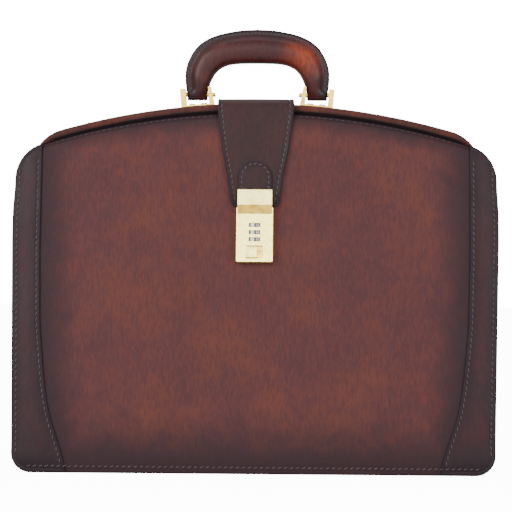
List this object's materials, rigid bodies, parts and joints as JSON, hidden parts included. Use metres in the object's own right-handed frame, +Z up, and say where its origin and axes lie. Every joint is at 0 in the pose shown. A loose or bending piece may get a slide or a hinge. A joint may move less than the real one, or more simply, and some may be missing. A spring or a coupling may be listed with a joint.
{
  "type": "doctor bag",
  "caption": "Framed leather bag with a hinged arched mouth, top carrying handle, closing strap with a metal hasp and a number lock on the front.",
  "frame": {"origin": "centre of the base at its underside, on the ground", "axes": "+X to the bag's right seen from the front, +Y from the front to the back, +Z up"},
  "size_m": [0.4388, 0.1736, 0.404],
  "materials": {
    "brown_leather": "burnished",
    "dark_leather": "burnished",
    "lining_fabric": "woven",
    "board": "matt pressed fibre",
    "brass": "brushed",
    "steel": "satin"
  },
  "bodies": {
    "body_base": {"base_panel": "brown_leather", "base_board": "board", "base_lining": "lining_fabric", "left_gusset": "brown_leather", "right_gusset": "brown_leather", "frame_hinge_pins": "brass"},
    "front_wall": {"front_panel": "brown_leather", "front_board": "board", "front_lining": "lining_fabric", "front_left_strip": "dark_leather", "front_right_strip": "dark_leather", "lock_case": "brass", "lock_backplate": "steel", "lock_rivets": "steel", "wheel_shaft": "steel", "detent_spring": "steel"},
    "rear_wall": {"rear_panel": "brown_leather", "rear_board": "board", "rear_lining": "lining_fabric", "rear_left_strip": "dark_leather", "rear_right_strip": "dark_leather", "inner_pocket": "lining_fabric"},
    "front_frame": {"front_frame_bar": "steel", "front_frame_cover": "brown_leather"},
    "rear_frame": {"rear_frame_bar": "steel", "rear_frame_cover": "brown_leather", "left_handle_bracket": "brass", "right_handle_bracket": "brass", "bracket_rivets": "steel", "handle_pins": "brass", "strap_anchor": "dark_leather", "strap_rivets": "brass"},
    "handle": {"handle_core": "steel", "handle_cover": "brown_leather", "handle_bushings": "brass"},
    "strap_fold": {"strap_bridge": "dark_leather"},
    "strap_end": {"strap_flap": "dark_leather", "strap_tab": "dark_leather", "hasp": "brass"},
    "wheel_1": {"lock_wheel_1": "brass"},
    "wheel_2": {"lock_wheel_2": "brass"},
    "wheel_3": {"lock_wheel_3": "brass"},
    "lock_slider": {"lock_button": "brass", "lock_latch": "steel"}
  },
  "joints": [
    {"name": "front_frame_hinge", "type": "hinge", "parent": "body_base", "child": "front_frame", "pos_m": [0, 0, 0.25], "axis": [1, 0, 0], "range_deg": [0, 36], "deforming": ["strap_bridge"]},
    {"name": "rear_frame_hinge", "type": "hinge", "parent": "body_base", "child": "rear_frame", "pos_m": [0, 0, 0.25], "axis": [1, 0, 0], "range_deg": [-36, 0]},
    {"name": "front_wall_hinge", "type": "hinge", "parent": "body_base", "child": "front_wall", "pos_m": [0, -0.085, 0], "axis": [1, 0, 0], "range_deg": [0, 8.7]},
    {"name": "rear_wall_hinge", "type": "hinge", "parent": "body_base", "child": "rear_wall", "pos_m": [0, 0.085, 0], "axis": [1, 0, 0], "range_deg": [-8.7, 0]},
    {"name": "handle_hinge", "type": "hinge", "parent": "rear_frame", "child": "handle", "pos_m": [0, 0.01, 0.343], "axis": [1, 0, 0], "range_deg": [-75, 75]},
    {"name": "strap_fold_hinge", "type": "hinge", "parent": "rear_frame", "child": "strap_fold", "pos_m": [0, -0.0086, 0.3371], "axis": [-1, 0, 0], "range_deg": [0, 90]},
    {"name": "strap_end_hinge", "type": "hinge", "parent": "strap_fold", "child": "strap_end", "pos_m": [0, -0.038, 0.335], "axis": [-1, 0, 0], "range_deg": [0, 95]},
    {"name": "lock_slide", "type": "slide", "parent": "front_wall", "child": "lock_slider", "axis": [1, 0, 0], "range_m": [0, 0.005]},
    {"name": "wheel_1_turn", "type": "hinge", "parent": "front_wall", "child": "wheel_1", "pos_m": [0, -0.053, 0.22046], "axis": [0, 0.153, 0.9882], "continuous": true},
    {"name": "wheel_2_turn", "type": "hinge", "parent": "front_wall", "child": "wheel_2", "pos_m": [0, -0.05401, 0.21394], "axis": [0, 0.153, 0.9882], "continuous": true},
    {"name": "wheel_3_turn", "type": "hinge", "parent": "front_wall", "child": "wheel_3", "pos_m": [0, -0.05499, 0.20761], "axis": [0, 0.153, 0.9882], "continuous": true}
  ],
  "couplings": [
    {"joint": "rear_frame_hinge", "follows": "front_frame_hinge", "ratio": -1},
    {"joint": "front_wall_hinge", "follows": "front_frame_hinge", "ratio": 0.24},
    {"joint": "rear_wall_hinge", "follows": "front_frame_hinge", "ratio": -0.24},
    {"joint": "strap_fold_hinge", "follows": "front_frame_hinge", "ratio": 2.5}
  ]
}
